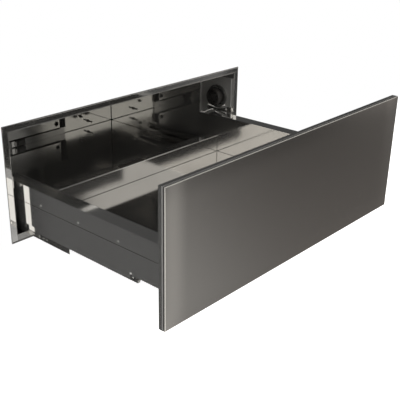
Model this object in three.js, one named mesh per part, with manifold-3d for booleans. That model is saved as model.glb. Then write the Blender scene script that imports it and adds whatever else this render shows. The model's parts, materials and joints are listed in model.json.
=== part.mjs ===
// A wide, low built-in warming drawer, pulled open: a steel housing with a flat front frame,
// a thick-walled drawer with a polished tub, undermount telescopic runners and a side fan.
// Millimetres, +X right, +Y to the back, +Z up. The front faces -Y.
// Lengths along Y are first measured from the face of the front, heights from the front's bottom edge;
// the origin is then moved to the middle of the housing's underside.
import * as THREE from "three";
import { mergeVertices } from "three/addons/utils/BufferGeometryUtils.js";
import Module from "manifold-3d";

const wasm = await Module();
wasm.setup();

// ---------------------------------------------------------------- dimensions
const FRONT_W = 760; // front, width
const FRONT_H = 268; // front, height
const FRONT_T = 15; // front, thickness
const SKIN_T = 2.6; // outer skin of the front
const GAP_T = 2.0; // shadow gap behind the skin
const LIP_T = 2.8; // bright inner frame behind the gap
const FRAME_Y = 458.2; // front plane of the housing's frame while the drawer is open
const FRAME_W = 746;
const FRAME_Z0 = 7.2;
const FRAME_Z1 = 264.5;
const FRAME_T = 1.4;
const OPEN_X = 358.1; // half the width of the opening
const OPEN_Z0 = 23.3;
const OPEN_Z1 = 250.0;
const FLOOR_Z = 16.0; // top of the housing's floor
const SHEET = 1.2;
const BACK_Y = 957.9; // inner face of the housing's back
const HOUSING_Z0 = 9.0; // underside of the housing
const HOUSING_Z1 = 258.0;
const DRAWER_X = 346.0; // half the outside width of the drawer
const TUB_X = 313.6; // half the inside width of the tub
const WALL_Z = 139.5; // top of the drawer's side walls
const SIDE_Z0 = 52.0; // underside of the side walls
const TUB_Z = 38.0; // tub floor
const TUB_Y0 = 47.6; // inner face of the tub's front wall
const TUB_Y1 = 474.0; // inner face of the tub's back wall
const BACKWALL_Z = 83.0; // top of the low back wall
const DRAWER_Y1 = 506.0; // rear of the drawer
const GROOVE_Z = 101.5; // lengthwise joint in the side shells
const PAN_Z = 25.0; // underside of the drawer
const RUN_X0 = 319.0; // runner members, inner side
const RUN_X1 = 343.0; // runner members, outer side
const RUN_MID = (RUN_X0 + RUN_X1) / 2;
const PIN_X = 260.0; // catch pin on the back sheet
const PIN_Z = 34.0;
const PIN_Y0 = 939.0; // tip of the catch pin
const FAN_Y = 512.0; // fan centre
const FAN_Z = 178.5;
const FAN_R = 20.0;
const TRAVEL = 440.0; // closing travel of the drawer, also the depth that the catch pin's pocket is cut for

const ORIGIN = new THREE.Vector3(0, 708.0, HOUSING_Z0);

// ---------------------------------------------------------------- helpers
const root = new THREE.Group();

function bare(geometry) {
  const g = geometry.index ? geometry.clone() : mergeVertices(geometry.clone());
  for (const name of Object.keys(g.attributes)) if (name !== "position") g.deleteAttribute(name);
  return mergeVertices(g, 1e-4);
}

function solid(geometry) {
  const g = bare(geometry);
  return new wasm.Manifold(
    new wasm.Mesh({
      numProp: 3,
      vertProperties: new Float32Array(g.attributes.position.array),
      triVerts: new Uint32Array(g.index.array),
    }),
  );
}

function geometryOf(manifold) {
  const m = manifold.getMesh();
  const g = new THREE.BufferGeometry();
  const n = m.vertProperties.length / m.numProp;
  const p = new Float32Array(n * 3);
  for (let i = 0; i < n; i++)
    for (let k = 0; k < 3; k++) p[i * 3 + k] = m.vertProperties[i * m.numProp + k];
  g.setAttribute("position", new THREE.BufferAttribute(p, 3));
  g.setIndex(new THREE.BufferAttribute(new Uint32Array(m.triVerts), 1));
  g.computeVertexNormals();
  return g;
}

// a box from its limits
function box(x0, x1, y0, y1, z0, z1) {
  const [a, b] = [Math.min(x0, x1), Math.max(x0, x1)];
  const g = new THREE.BoxGeometry(b - a, y1 - y0, z1 - z0);
  g.translate((a + b) / 2, (y0 + y1) / 2, (z0 + z1) / 2);
  return g;
}

// a round bar along x, y or z from one end to the other
function bar(axis, r, from, to, u, v, sides = 24) {
  const g = new THREE.CylinderGeometry(r, r, to - from, sides);
  const mid = (from + to) / 2;
  if (axis === "x") {
    g.rotateZ(-Math.PI / 2);
    g.translate(mid, u, v);
  } else if (axis === "z") {
    g.rotateX(Math.PI / 2);
    g.translate(u, v, mid);
  } else g.translate(u, mid, v);
  return g;
}

function join(...geometries) {
  let s = solid(geometries[0]);
  for (const g of geometries.slice(1)) s = s.add(solid(g));
  return geometryOf(s);
}

function cut(geometry, ...tools) {
  let s = solid(geometry);
  for (const t of tools) s = s.subtract(solid(t));
  return geometryOf(s);
}

function mirrored(geometry) {
  const g = geometry.clone();
  g.scale(-1, 1, 1);
  const i = g.index.array;
  for (let k = 0; k < i.length; k += 3) [i[k + 1], i[k + 2]] = [i[k + 2], i[k + 1]];
  return g;
}

const MATERIALS = {
  front_satin: [0x6b6862, 0.32, 0.9],
  shadow_black: [0x1a1a19, 0.7, 0.0],
  trim_aluminium: [0x8c8b87, 0.35, 0.9],
  graphite_steel: [0x504f4c, 0.3, 0.85],
  polished_steel: [0x8e8b86, 0.08, 1.0],
  frame_steel: [0x6f6c68, 0.1, 1.0],
  galvanised: [0x9a9c9c, 0.45, 0.9],
  runner_zinc: [0x4a4946, 0.35, 0.9],
  bright_chrome: [0xc8c6c0, 0.05, 1.0],
  black_plastic: [0x161616, 0.5, 0.0],
  black_rubber: [0x121212, 0.85, 0.0],
  insulation: [0xcfc8b4, 0.95, 0.0],
  heater_tube: [0x5c544c, 0.4, 0.8],
  board_green: [0x2f5a3a, 0.6, 0.0],
  terminal_white: [0xd8d5cc, 0.6, 0.0],
  lens_white: [0xdddad2, 0.3, 0.0],
};

function add(name, slot, geometry) {
  const [color, roughness, metalness] = MATERIALS[slot];
  const material = new THREE.MeshStandardMaterial({ color, roughness, metalness });
  const g = geometry.clone();
  g.translate(-ORIGIN.x, -ORIGIN.y, -ORIGIN.z);
  const mesh = new THREE.Mesh(g, material);
  mesh.name = name;
  root.add(mesh);
  return mesh;
}

// the same piece on both sides
function addPair(name, slot, left) {
  add(`${name}_left`, slot, left);
  add(`${name}_right`, slot, mirrored(bare(left)));
}

// ---------------------------------------------------------------- housing
// floor with the bottom flange and turned-down edges
add(
  "housing_base",
  "polished_steel",
  join(
    box(-OPEN_X + 0.2, OPEN_X - 0.2, FRAME_Y + 0.4, BACK_Y - 0.2, FLOOR_Z - SHEET, FLOOR_Z),
    box(-OPEN_X + 0.1, OPEN_X - 0.1, FRAME_Y, FRAME_Y + FRAME_T, FRAME_Z0, OPEN_Z0),
    box(-OPEN_X + 0.2, OPEN_X - 0.2, BACK_Y - 1.4, BACK_Y - 0.2, HOUSING_Z0 + 0.5, FLOOR_Z - 0.4),
    box(-OPEN_X + 0.2, -OPEN_X + 1.4, FRAME_Y + 0.4, BACK_Y - 0.2, HOUSING_Z0 + 0.5, FLOOR_Z - 0.4),
    box(OPEN_X - 1.4, OPEN_X - 0.2, FRAME_Y + 0.4, BACK_Y - 0.2, HOUSING_Z0 + 0.5, FLOOR_Z - 0.4),
  ),
);

// side sheets, each with its full-height front flange and a turned-in rear edge
const sideSheet = join(
  box(-OPEN_X - SHEET, -OPEN_X, FRAME_Y + 0.4, BACK_Y + 13.0, HOUSING_Z0 + 0.5, HOUSING_Z1),
  box(-FRAME_W / 2, -OPEN_X, FRAME_Y, FRAME_Y + FRAME_T, FRAME_Z0, FRAME_Z1),
);
add("housing_side_left", "frame_steel", sideSheet);
add("housing_side_right", "frame_steel", mirrored(sideSheet));

// top sheet with the top flange between the side flanges
add(
  "housing_top",
  "frame_steel",
  join(
    box(-OPEN_X + 0.2, OPEN_X - 0.2, FRAME_Y + 0.4, BACK_Y - 0.2, OPEN_Z1, OPEN_Z1 + SHEET),
    box(-OPEN_X + 0.1, OPEN_X - 0.1, FRAME_Y, FRAME_Y + FRAME_T, OPEN_Z1, FRAME_Z1),
    box(-OPEN_X + 0.2, OPEN_X - 0.2, BACK_Y - 1.4, BACK_Y - 0.2, OPEN_Z1 + 0.4, HOUSING_Z1),
  ),
);

// back sheet with an access cut-out behind the cover plate and turned-back side edges
add(
  "housing_back",
  "polished_steel",
  cut(
    join(
      box(-OPEN_X + 0.2, OPEN_X - 0.2, BACK_Y, BACK_Y + SHEET, HOUSING_Z0 + 0.5, HOUSING_Z1 - 0.2),
      box(-OPEN_X + 0.2, -OPEN_X + 1.4, BACK_Y + 0.4, BACK_Y + 12, HOUSING_Z0 + 0.5, HOUSING_Z1 - 0.2),
      box(OPEN_X - 1.4, OPEN_X - 0.2, BACK_Y + 0.4, BACK_Y + 12, HOUSING_Z0 + 0.5, HOUSING_Z1 - 0.2),
    ),
    box(-150, 142, BACK_Y - 1, BACK_Y + 3, 45, 92),
  ),
);

// hat rails that the housing stands on, flanges against the floor, crown down
function hatRail(x) {
  const [y0, y1] = [FRAME_Y + 14, BACK_Y - 8];
  const top = FLOOR_Z - SHEET - 0.1;
  return join(
    box(x - 15, x + 15, y0, y1, HOUSING_Z0, HOUSING_Z0 + SHEET),
    box(x - 15, x - 13.8, y0, y1, HOUSING_Z0, top),
    box(x + 13.8, x + 15, y0, y1, HOUSING_Z0, top),
    box(x - 25, x - 13.8, y0, y1, top - SHEET, top),
    box(x + 13.8, x + 25, y0, y1, top - SHEET, top),
  );
}
addPair("base_rail", "galvanised", hatRail(-221));
add("base_rail_centre", "galvanised", hatRail(0));

// electronics box behind the back sheet, open to the front, with a round cable hole in its rear wall
const EB = { x0: -172, x1: 168, y0: BACK_Y + 1.4, y1: BACK_Y + 34, z0: 30, z1: 128 };
add(
  "electronics_box",
  "galvanised",
  cut(
    box(EB.x0, EB.x1, EB.y0, EB.y1, EB.z0, EB.z1),
    box(EB.x0 + 1.2, EB.x1 - 1.2, EB.y0 - 1, EB.y1 - 1.2, EB.z0 + 1.2, EB.z1 - 1.2),
    bar("y", 8.2, EB.y1 - 3, EB.y1 + 1, -140, 60, 24),
  ),
);
add(
  "control_board",
  "board_green",
  join(
    box(-90, 120, EB.y1 - 8.0, EB.y1 - 6.4, 40, 118),
    box(-60, -26, EB.y1 - 22, EB.y1 - 7.5, 52, 84),
    box(-12, 14, EB.y1 - 20, EB.y1 - 7.5, 60, 96),
    box(40, 92, EB.y1 - 15, EB.y1 - 7.5, 92, 108),
    box(-80, -76, EB.y1 - 7.0, EB.y1 - 1.5, 44, 48),
    box(106, 110, EB.y1 - 7.0, EB.y1 - 1.5, 44, 48),
  ),
);
add(
  "terminal_block",
  "terminal_white",
  cut(
    join(
      box(-132, -100, EB.y1 - 20, EB.y1 - 1.5, 84, 104),
      box(-136, -96, EB.y1 - 5, EB.y1 - 1.5, 82, 106),
    ),
    box(-130, -122.5, EB.y1 - 21, EB.y1 - 8, 87, 101),
    box(-119.7, -112.2, EB.y1 - 21, EB.y1 - 8, 87, 101),
    box(-109.5, -102, EB.y1 - 21, EB.y1 - 8, 87, 101),
  ),
);
// cable gland: a threaded body through the wall, a hexagon outside and an open cable passage
add(
  "cable_gland",
  "black_plastic",
  cut(
    join(
      bar("y", 7.9, EB.y1 - 6, EB.y1 + 2, -140, 60, 24),
      bar("y", 12, EB.y1 - 6, EB.y1 - 1.5, -140, 60, 24),
      bar("y", 12.5, EB.y1 + 0.3, EB.y1 + 7, -140, 60, 6),
      bar("y", 9, EB.y1 + 6.5, EB.y1 + 12, -140, 60, 24),
    ),
    bar("y", 4.2, EB.y1 - 8, EB.y1 + 14, -140, 60, 24),
  ),
);

// cover plate over the access cut-out, with the round cable hole
add(
  "rear_cover_plate",
  "polished_steel",
  cut(
    join(
      box(-166, 151, BACK_Y - 6.4, BACK_Y - 5.0, 37.4, 99),
      box(-166, 151, BACK_Y - 6.4, BACK_Y - 0.4, 97.6, 99),
    ),
    bar("y", 7.6, BACK_Y - 8, BACK_Y - 3, 133, 53, 28),
  ),
);
// grommet that seals the cable hole, a stepped rubber ring on the back sheet
add(
  "cover_grommet",
  "black_rubber",
  cut(
    join(
      bar("y", 7.3, BACK_Y - 7.0, BACK_Y - 2.0, 133, 53, 28),
      bar("y", 5.9, BACK_Y - 7.0, BACK_Y + 3.0, 133, 53, 28),
    ),
    bar("y", 3.6, BACK_Y - 9, BACK_Y + 4, 133, 53, 20),
  ),
);
// folded skirt under the plate, with an upright end block at its right end
add(
  "cover_skirt",
  "graphite_steel",
  join(
    box(-170, 165, BACK_Y - 3.4, BACK_Y - 2.2, 16.6, 37.1),
    box(-170, 165, BACK_Y - 3.4, BACK_Y - 0.1, 35.9, 37.1),
    box(-170, -168.8, BACK_Y - 3.4, BACK_Y - 0.1, 16.6, 37.1),
    box(163.8, 165, BACK_Y - 3.4, BACK_Y - 0.1, 16.6, 37.1),
  ),
);
add(
  "cover_end_block",
  "black_plastic",
  cut(
    box(151.4, 165, BACK_Y - 8.0, BACK_Y - 0.1, 37.4, 99),
    box(154.5, 162, BACK_Y - 9, BACK_Y - 6.4, 42, 66),
  ),
);
// small block with spring clips on the skirt
add(
  "rear_buffer",
  "black_rubber",
  join(
    box(-17, 15, BACK_Y - 9.5, BACK_Y - 3.6, 18.2, 35.0),
    box(-10, 8, BACK_Y - 11.3, BACK_Y - 9.0, 21, 32),
  ),
);
add(
  "buffer_clip",
  "bright_chrome",
  join(
    box(-30, -17.4, BACK_Y - 6.4, BACK_Y - 5.2, 19, 34.6),
    box(-30, -28.6, BACK_Y - 6.4, BACK_Y - 3.6, 19, 34.6),
    box(-18.6, -17.4, BACK_Y - 10.6, BACK_Y - 5.2, 20, 33),
  ),
);
// catch pin: a straight rod on a washer, which enters a pocket in the drawer's rear when the drawer is closed
add(
  "catch_pin",
  "runner_zinc",
  join(
    bar("y", 2.1, PIN_Y0 + 1.5, BACK_Y - 0.1, PIN_X, PIN_Z, 16),
    bar("y", 2.7, PIN_Y0, PIN_Y0 + 3.0, PIN_X, PIN_Z, 16),
    bar("y", 5.0, BACK_Y - 1.3, BACK_Y - 0.1, PIN_X, PIN_Z, 20),
  ),
);
add(
  "cavity_sensor",
  "runner_zinc",
  join(
    bar("y", 4.6, BACK_Y - 2.2, BACK_Y - 0.1, 231, 54.5, 24),
    bar("y", 2.2, BACK_Y - 9.0, BACK_Y - 1.5, 231, 54.5, 16),
  ),
);

// fan unit on the right wall: the fan stands above the path of the drawer's side wall, its plate reaches down beside it
const FX = OPEN_X - 0.2; // wall side of the fan plate
add(
  "fan_plate",
  "polished_steel",
  cut(
    join(
      box(FX - 1.4, FX, 464, 574, 121, 234),
      box(FX - 5.5, FX - 1.0, 464, 465.2, 156, 234),
      box(FX - 5.5, FX - 1.0, 572.8, 574, 121, 234),
      box(FX - 5.5, FX - 1.0, 479, 574, 121, 122.2),
    ),
    bar("x", 15.2, FX - 3, FX + 1, FAN_Y, FAN_Z, 32),
  ),
);
add(
  "fan_housing",
  "black_plastic",
  cut(
    join(
      cut(
        join(
          bar("x", FAN_R, FX - 22, FX - 1.6, FAN_Y, FAN_Z, 40),
          bar("x", 3.6, FX - 4.4, FX - 1.6, FAN_Y - 21.6, FAN_Z + 9, 16),
          box(FX - 4.4, FX - 1.6, FAN_Y - 21.6, FAN_Y - 16, FAN_Z + 5.4, FAN_Z + 12.6),
          bar("x", 3.6, FX - 4.4, FX - 1.6, FAN_Y + 21.6, FAN_Z + 9, 16),
          box(FX - 4.4, FX - 1.6, FAN_Y + 16, FAN_Y + 21.6, FAN_Z + 5.4, FAN_Z + 12.6),
        ),
        bar("x", FAN_R - 1.8, FX - 23, FX - 4.0, FAN_Y, FAN_Z, 40),
      ),
      bar("x", 6.5, FX - 8.5, FX - 3.5, FAN_Y, FAN_Z, 20),
      bar("x", 1.5, FX - 17, FX - 8, FAN_Y, FAN_Z, 16),
    ),
    // air ports in the rear wall
    ...[0, 1, 2, 3, 4, 5].map((i) => {
      const a = (i * Math.PI) / 3;
      return bar("x", 3.2, FX - 5, FX, FAN_Y + 11 * Math.cos(a), FAN_Z + 11 * Math.sin(a), 12);
    }),
  ),
);
// rotor: a bored hub and seven pitched blades that turn on the housing's pin
const hub = cut(
  bar("x", 6.5, FX - 18.5, FX - 9.0, FAN_Y, FAN_Z, 24),
  bar("x", 1.6, FX - 17.3, FX - 8, FAN_Y, FAN_Z, 16),
);
const blades = [];
for (let i = 0; i < 7; i++) {
  const blade = new THREE.BoxGeometry(1.1, 9.5, 11.8);
  blade.rotateZ(THREE.MathUtils.degToRad(52));
  blade.translate(0, 0, 10.9);
  blade.rotateX((i * 2 * Math.PI) / 7);
  blade.translate(FX - 13.8, FAN_Y, FAN_Z);
  blades.push(blade);
}
add("fan_rotor", "black_plastic", join(hub, ...blades));
// front grille: three rings on four spokes
const grille = [];
for (const [ro, ri] of [
  [FAN_R, FAN_R - 2.2],
  [13.8, 12.4],
  [8, 0],
]) {
  const disc = bar("x", ro, FX - 23.6, FX - 22.3, FAN_Y, FAN_Z, 40);
  grille.push(ri > 0 ? cut(disc, bar("x", ri, FX - 25, FX - 21, FAN_Y, FAN_Z, 40)) : disc);
}
for (let i = 0; i < 2; i++) {
  const spoke = new THREE.BoxGeometry(1.3, 2 * FAN_R - 2, 1.8);
  spoke.rotateX((i * Math.PI) / 2 + Math.PI / 4);
  spoke.translate(FX - 22.95, FAN_Y, FAN_Z);
  grille.push(spoke);
}
add("fan_grille", "black_plastic", join(...grille));
// polished collar that rings the fan on the plate
add(
  "fan_collar",
  "bright_chrome",
  cut(
    join(
      bar("x", 31.5, FX - 7.0, FX - 1.7, FAN_Y, FAN_Z, 56),
      bar("x", 29.6, FX - 8.2, FX - 6.5, FAN_Y, FAN_Z, 56),
    ),
    bar("x", 27.4, FX - 9, FX - 1, FAN_Y, FAN_Z, 56),
  ),
);

// cabinet members of the runners: an angle on the floor and wall with a head that carries the middle member
const cabinetMember = join(
  box(-OPEN_X + 0.2, -RUN_X0, FRAME_Y + 10, 807, FLOOR_Z + 0.1, FLOOR_Z + 1.7),
  box(-OPEN_X + 0.2, -OPEN_X + 1.8, FRAME_Y + 10, 807, FLOOR_Z + 0.1, 37.0),
  box(-RUN_MID - 1, -RUN_MID + 1, FRAME_Y + 10, 807, FLOOR_Z + 1.0, 34.6),
  box(-RUN_MID - 8.8, -RUN_MID + 8.8, FRAME_Y + 10, 807, 34.0, 35.6),
  box(-RUN_MID - 8.8, -RUN_MID - 7.4, FRAME_Y + 10, 807, 29.0, 35.0),
  box(-RUN_MID + 7.4, -RUN_MID + 8.8, FRAME_Y + 10, 807, 29.0, 35.0),
);
addPair("runner_cabinet", "runner_zinc", cabinetMember);

// middle members: a channel over the cabinet member's head and a head inside the drawer member
const MID_Y0 = 302;
const MID_Y1 = 702;
const HEAD_Y0 = 347; // the head starts behind the clip of the closed drawer
const middleMember = join(
  box(-RUN_X1, -RUN_X0, MID_Y0, MID_Y1, 36.9, 38.3),
  box(-RUN_X1, -RUN_X1 + 1.4, MID_Y0, MID_Y1, 26.7, 37.5),
  box(-RUN_X0 - 1.4, -RUN_X0, MID_Y0, MID_Y1, 26.7, 37.5),
  box(-RUN_MID - 1, -RUN_MID + 1, HEAD_Y0, MID_Y1, 38.0, 48.6),
  box(-RUN_MID - 8.8, -RUN_MID + 8.8, HEAD_Y0, MID_Y1, 47.9, 49.4),
  box(-RUN_MID - 8.8, -RUN_MID - 7.4, HEAD_Y0, MID_Y1, 41.5, 48.6),
  box(-RUN_MID + 7.4, -RUN_MID + 8.8, HEAD_Y0, MID_Y1, 41.5, 48.6),
);
addPair("runner_middle", "runner_zinc", middleMember);

// ---------------------------------------------------------------- drawer front
// skin with a chamfer round its face
function chamferedSlab(w, h, t, c) {
  const s = new THREE.Shape();
  const x = w / 2 - c;
  s.moveTo(-x, c);
  s.lineTo(x, c);
  s.lineTo(x, h - c);
  s.lineTo(-x, h - c);
  s.closePath();
  const g = new THREE.ExtrudeGeometry(s, {
    depth: t - c,
    bevelEnabled: true,
    bevelThickness: c,
    bevelSize: c,
    bevelSegments: 1,
  });
  // cut off the bevel of the rear face, then stand the slab up with its bevelled face to the front
  g.rotateX(Math.PI / 2);
  g.translate(0, t, 0);
  return cut(g, box(-w, w, t, t + 10, -10, h + 10));
}
add("front_skin", "front_satin", chamferedSlab(FRONT_W, FRONT_H, SKIN_T, 0.8));
// dark sheet that the skin is bonded to, set back from its edges
add(
  "front_spacer",
  "shadow_black",
  box(-FRONT_W / 2 + 2.2, FRONT_W / 2 - 2.2, SKIN_T + 0.05, SKIN_T + GAP_T - 0.05, 2.2, FRONT_H - 2.2),
);
const LIP_Y = SKIN_T + GAP_T;
add(
  "front_inner_frame",
  "trim_aluminium",
  cut(
    box(-FRONT_W / 2, FRONT_W / 2, LIP_Y, LIP_Y + LIP_T, 0, FRONT_H),
    box(-FRONT_W / 2 + 30, FRONT_W / 2 - 30, LIP_Y - 1, LIP_Y + LIP_T + 1, 30, FRONT_H - 30),
  ),
);
const PAN_Y = LIP_Y + LIP_T + 0.05;
add(
  "front_back_pan",
  "graphite_steel",
  cut(
    box(-FRONT_W / 2, FRONT_W / 2, PAN_Y, FRONT_T, 0, FRONT_H),
    box(-FRONT_W / 2 + 1.4, FRONT_W / 2 - 1.4, PAN_Y - 1, FRONT_T - 1.4, 1.4, FRONT_H - 1.4),
  ),
);
add(
  "front_insulation",
  "insulation",
  join(
    box(-FRONT_W / 2 + 2, FRONT_W / 2 - 2, PAN_Y + 0.2, FRONT_T - 1.6, 2, FRONT_H - 2),
    box(-FRONT_W / 2 + 30.5, FRONT_W / 2 - 30.5, LIP_Y + 0.2, PAN_Y + 1, 30.5, FRONT_H - 30.5),
  ),
);
// soft seal ring that meets the frame when the drawer is closed
add(
  "front_seal",
  "black_rubber",
  cut(
    box(-369, 369, FRONT_T + 0.1, FRONT_T + 2.9, 9.5, 262),
    box(-361.5, 361.5, FRONT_T - 1, FRONT_T + 4, 17, 254.5),
  ),
);

// ---------------------------------------------------------------- drawer body
const Y0 = FRONT_T + 0.1;
const sideShell = cut(
  join(
    box(-DRAWER_X, -DRAWER_X + SHEET, Y0, DRAWER_Y1, SIDE_Z0, WALL_Z),
    box(-DRAWER_X, -TUB_X, Y0, DRAWER_Y1, WALL_Z - SHEET, WALL_Z),
    box(-DRAWER_X, -RUN_X0 + 2, Y0, DRAWER_Y1, SIDE_Z0, SIDE_Z0 + SHEET),
    box(-DRAWER_X, -TUB_X, DRAWER_Y1 - SHEET, DRAWER_Y1, SIDE_Z0, WALL_Z),
    box(-DRAWER_X, -TUB_X, Y0, Y0 + SHEET, SIDE_Z0, WALL_Z),
  ),
  box(-DRAWER_X - 1, -DRAWER_X + 0.5, 0, 600, GROOVE_Z - 0.5, GROOVE_Z + 0.5),
);
addPair("side_shell", "graphite_steel", sideShell);

// the tub's sheets meet along open seams
const SEAM = 0.7;
add(
  "tub_floor",
  "polished_steel",
  box(-TUB_X + SEAM, TUB_X - SEAM, TUB_Y0 + SEAM, TUB_Y1 - SEAM, TUB_Z - SHEET, TUB_Z),
);
addPair(
  "tub_wall",
  "polished_steel",
  box(-TUB_X - SHEET, -TUB_X, Y0 + SHEET + 0.2, DRAWER_Y1 - SHEET - 0.2, TUB_Z - SHEET, WALL_Z - SHEET - 0.1),
);
add(
  "tub_back",
  "polished_steel",
  box(-TUB_X + SEAM, TUB_X - SEAM, TUB_Y1, TUB_Y1 + SHEET, TUB_Z - SHEET, BACKWALL_Z - SHEET - 0.1),
);
add(
  "tub_front",
  "polished_steel",
  box(-TUB_X + SEAM, TUB_X - SEAM, TUB_Y0 - SHEET, TUB_Y0, TUB_Z - SHEET, WALL_Z - SHEET - 0.1),
);
add(
  "back_shell",
  "graphite_steel",
  cut(
    join(
      box(-TUB_X + 0.3, TUB_X - 0.3, TUB_Y1, DRAWER_Y1, BACKWALL_Z - SHEET, BACKWALL_Z),
      box(-TUB_X + 0.3, TUB_X - 0.3, DRAWER_Y1 - SHEET, DRAWER_Y1, PAN_Z + 1.5, BACKWALL_Z),
    ),
    bar("y", 6.5, DRAWER_Y1 - 4, DRAWER_Y1 + 2, PIN_X, PIN_Z, 24),
  ),
);
const STRIP_Y0 = 18.5;
const STRIP_Y1 = 44.5;
add(
  "front_cap",
  "graphite_steel",
  join(
    box(-TUB_X + 0.3, TUB_X - 0.3, Y0, TUB_Y0, WALL_Z - SHEET, WALL_Z),
    box(-TUB_X + 0.3, TUB_X - 0.3, Y0, Y0 + SHEET, PAN_Z + 1.5, WALL_Z),
  ),
);
add(
  "drawer_pan",
  "galvanised",
  join(
    box(-TUB_X + 0.7, TUB_X - 0.7, Y0 + 0.3, DRAWER_Y1 - 0.3, PAN_Z, PAN_Z + SHEET),
    box(-TUB_X + 0.7, -TUB_X + 1.9, Y0 + 1.6, DRAWER_Y1 - 1.6, PAN_Z + 0.5, TUB_Z - SHEET - 0.3),
    box(TUB_X - 1.9, TUB_X - 0.7, Y0 + 1.6, DRAWER_Y1 - 1.6, PAN_Z + 0.5, TUB_Z - SHEET - 0.3),
  ),
);

// insulation slabs in the double walls and under the floor
addPair(
  "insulation_side",
  "insulation",
  box(-DRAWER_X + SHEET + 0.4, -TUB_X - SHEET - 0.4, Y0 + SHEET + 0.4, DRAWER_Y1 - SHEET - 0.4, SIDE_Z0 + SHEET + 0.3, WALL_Z - SHEET - 0.4),
);
add(
  "insulation_back",
  "insulation",
  cut(
    box(-TUB_X + 0.8, TUB_X - 0.8, TUB_Y1 + SHEET + 0.3, DRAWER_Y1 - SHEET - 0.3, TUB_Z + 0.5, BACKWALL_Z - SHEET - 0.4),
    box(PIN_X - 7, PIN_X + 7, PIN_Y0 - TRAVEL - 2.5, DRAWER_Y1 + 1, TUB_Z, PIN_Z + 7),
  ),
);
add(
  "insulation_front",
  "insulation",
  box(-TUB_X + 0.8, TUB_X - 0.8, Y0 + SHEET + 0.4, TUB_Y0 - SHEET - 0.3, TUB_Z + 0.5, WALL_Z - SHEET - 0.4),
);
add(
  "insulation_floor",
  "insulation",
  box(-TUB_X + 2.4, TUB_X - 2.4, Y0 + 2.2, DRAWER_Y1 - 34, PAN_Z + SHEET + 0.2, 29.6),
);

// tubular heating element in long passes under the tub floor
function ring(r, sides) {
  const s = new THREE.Shape();
  for (let i = 0; i < sides; i++) {
    const a = (i * 2 * Math.PI) / sides;
    if (i) s.lineTo(r * Math.cos(a), r * Math.sin(a));
    else s.moveTo(r * Math.cos(a), r * Math.sin(a));
  }
  s.closePath();
  return s;
}
class Serpentine extends THREE.Curve {
  // straight runs along X joined by half-round ends
  constructor(x0, x1, y0, pitch, runs, z) {
    super();
    Object.assign(this, { x0, x1, y0, pitch, runs, z });
    this.turn = (Math.PI * pitch) / 2;
    this.run = x1 - x0;
    this.total = runs * this.run + (runs - 1) * this.turn;
  }
  getPoint(t, target = new THREE.Vector3()) {
    let s = Math.min(Math.max(t, 0), 1) * this.total;
    const step = this.run + this.turn;
    let i = Math.floor(s / step);
    if (i >= this.runs) i = this.runs - 1;
    s -= i * step;
    const right = i % 2 === 0;
    const y = this.y0 + i * this.pitch;
    if (s <= this.run) return target.set(right ? this.x0 + s : this.x1 - s, y, this.z);
    const a = ((s - this.run) / this.turn) * Math.PI;
    const r = this.pitch / 2;
    const dx = r * Math.sin(a);
    return target.set(right ? this.x1 + dx : this.x0 - dx, y + r - r * Math.cos(a), this.z);
  }
}
add(
  "heating_element",
  "heater_tube",
  new THREE.ExtrudeGeometry(ring(2.9, 8), {
    steps: 150,
    bevelEnabled: false,
    extrudePath: new Serpentine(-225, 225, 100, 64, 6, 33.0),
  }),
);
add(
  "floor_sensor",
  "runner_zinc",
  join(box(-11, 11, 249, 267, 30.0, 33.5), bar("z", 6.5, 30.2, 36.5, 0, 258, 20)),
);

// drawer members of the runners: a channel under the side wall, over the middle member's head
const DM_Y0 = 124;
const DM_Y1 = 503;
addPair(
  "runner_drawer",
  "runner_zinc",
  join(
    box(-RUN_X1, -RUN_X0, DM_Y0, DM_Y1, 50.4, SIDE_Z0 - 0.15),
    box(-RUN_X1, -RUN_X1 + 1.4, DM_Y0, DM_Y1, 38.9, 51.0),
    box(-RUN_X0 - 1.4, -RUN_X0, DM_Y0, DM_Y1, 38.9, 51.0),
  ),
);
// front clips that lock the drawer to its runners
addPair(
  "runner_clip",
  "black_plastic",
  cut(
    join(
      box(-RUN_X1 - 0.5, -RUN_X0, 108, DM_Y0 - 0.2, 39.5, SIDE_Z0 - 0.15),
      box(-RUN_X1 - 0.5, -RUN_X1 + 6, 104, 109, 39.5, 45.0),
    ),
    box(-RUN_X1 - 2, -RUN_X0 + 2, 112, 119, 43, 48),
  ),
);

// ---------------------------------------------------------------- controls in the top of the front wall
add(
  "control_strip",
  "black_plastic",
  cut(
    box(-115, 115, STRIP_Y0, STRIP_Y1, WALL_Z + 0.1, WALL_Z + 4.6),
    bar("z", 7.6, WALL_Z + 1.6, WALL_Z + 6, -80, 31.5, 28),
    box(-34, 34, 27.0, 36.0, WALL_Z + 3.4, WALL_Z + 6),
    bar("z", 3.1, WALL_Z + 1.6, WALL_Z + 6, 80, 31.5, 20),
  ),
);
add("power_key", "trim_aluminium", bar("z", 7.53, WALL_Z + 3.0, WALL_Z + 5.4, -80, 31.5, 28));
add("indicator_window", "lens_white", box(-33.6, 33.6, 27.4, 35.6, WALL_Z + 3.6, WALL_Z + 4.6));
add(
  "temperature_knob",
  "trim_aluminium",
  join(
    bar("z", 3.0, WALL_Z + 2.0, WALL_Z + 6.5, 80, 31.5, 20),
    bar("z", 9.5, WALL_Z + 5.0, WALL_Z + 9.6, 80, 31.5, 36),
    box(79.2, 80.8, 31.5, 40.0, WALL_Z + 9.2, WALL_Z + 10.2),
  ),
);

export default root;
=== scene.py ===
import json
import math
import random

import bmesh
import bpy
from mathutils import Matrix, Vector


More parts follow.
